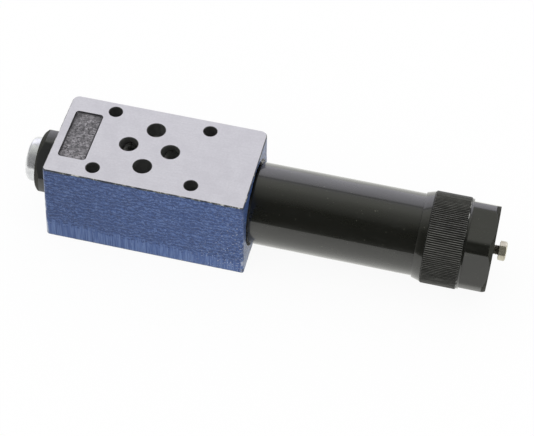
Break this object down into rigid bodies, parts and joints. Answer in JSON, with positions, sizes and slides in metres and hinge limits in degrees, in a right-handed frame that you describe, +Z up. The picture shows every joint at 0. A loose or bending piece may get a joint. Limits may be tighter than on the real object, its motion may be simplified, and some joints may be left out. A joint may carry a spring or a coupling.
{
  "type": "hydraulic sandwich valve",
  "caption": "Sandwich-plate pressure reducing valve: ported cast block, long spring housing and a knurled adjusting knob with hexagon.",
  "frame": {"origin": "centre of the mounting pattern on the block's bottom face", "axes": "+X along the valve axis to the adjusting knob, +Y to the back, +Z up through the stack"},
  "size_m": [0.2005, 0.0439, 0.04],
  "materials": {
    "cast_body": "blue paint over the casting, ground bare on top and bottom",
    "blackened_steel": "blackened, satin",
    "gloss_black_steel": "gloss black",
    "black_aluminium": "black anodised",
    "zinc_plated_steel": "bright zinc plated",
    "zinc_plated_screw": "zinc plated, slightly yellow",
    "ground_steel": "ground",
    "spring_steel": "oil-hardened",
    "bush_brass": "turned",
    "seal_rubber": "matte black"
  },
  "bodies": {
    "valve": {"valve_body": "cast_body", "end_plug": "blackened_steel", "end_plug_seal": "seal_rubber", "gauge_plug": "zinc_plated_steel", "gauge_plug_seal": "seal_rubber", "control_spring": "spring_steel", "spring_housing": "gloss_black_steel", "housing_seal": "seal_rubber", "thread_bush": "bush_brass", "bush_retaining_ring": "spring_steel", "knob_seal_ring": "seal_rubber", "port_seal_p": "seal_rubber", "port_seal_t": "seal_rubber", "port_seal_a": "seal_rubber", "port_seal_b": "seal_rubber"},
    "spool": {"control_spool": "ground_steel", "spool_jet": "ground_steel", "spring_plate": "ground_steel"},
    "piston": {"adjusting_piston": "ground_steel", "piston_seal": "seal_rubber"},
    "adjuster": {"adjusting_spindle": "ground_steel", "adjusting_knob": "black_aluminium", "jam_screw": "zinc_plated_screw"}
  },
  "joints": [
    {"name": "spool_slide", "type": "slide", "parent": "valve", "child": "spool", "axis": [1, 0, 0], "range_m": [0, 0.004], "stiffness_N_per_m": 1500, "springref_m": -0.002},
    {"name": "adjuster_travel", "type": "slide", "parent": "valve", "child": "piston", "axis": [1, 0, 0], "range_m": [-0.0075, 0.003], "deforming": ["control_spring"]},
    {"name": "adjuster_turn", "type": "hinge", "parent": "piston", "child": "adjuster", "pos_m": [0.13, 0, 0.02], "axis": [1, 0, 0], "range_deg": [-1800, 720]}
  ],
  "couplings": [
    {"joint": "adjuster_turn", "follows": "adjuster_travel", "rad_per_m": 4188.8}
  ]
}
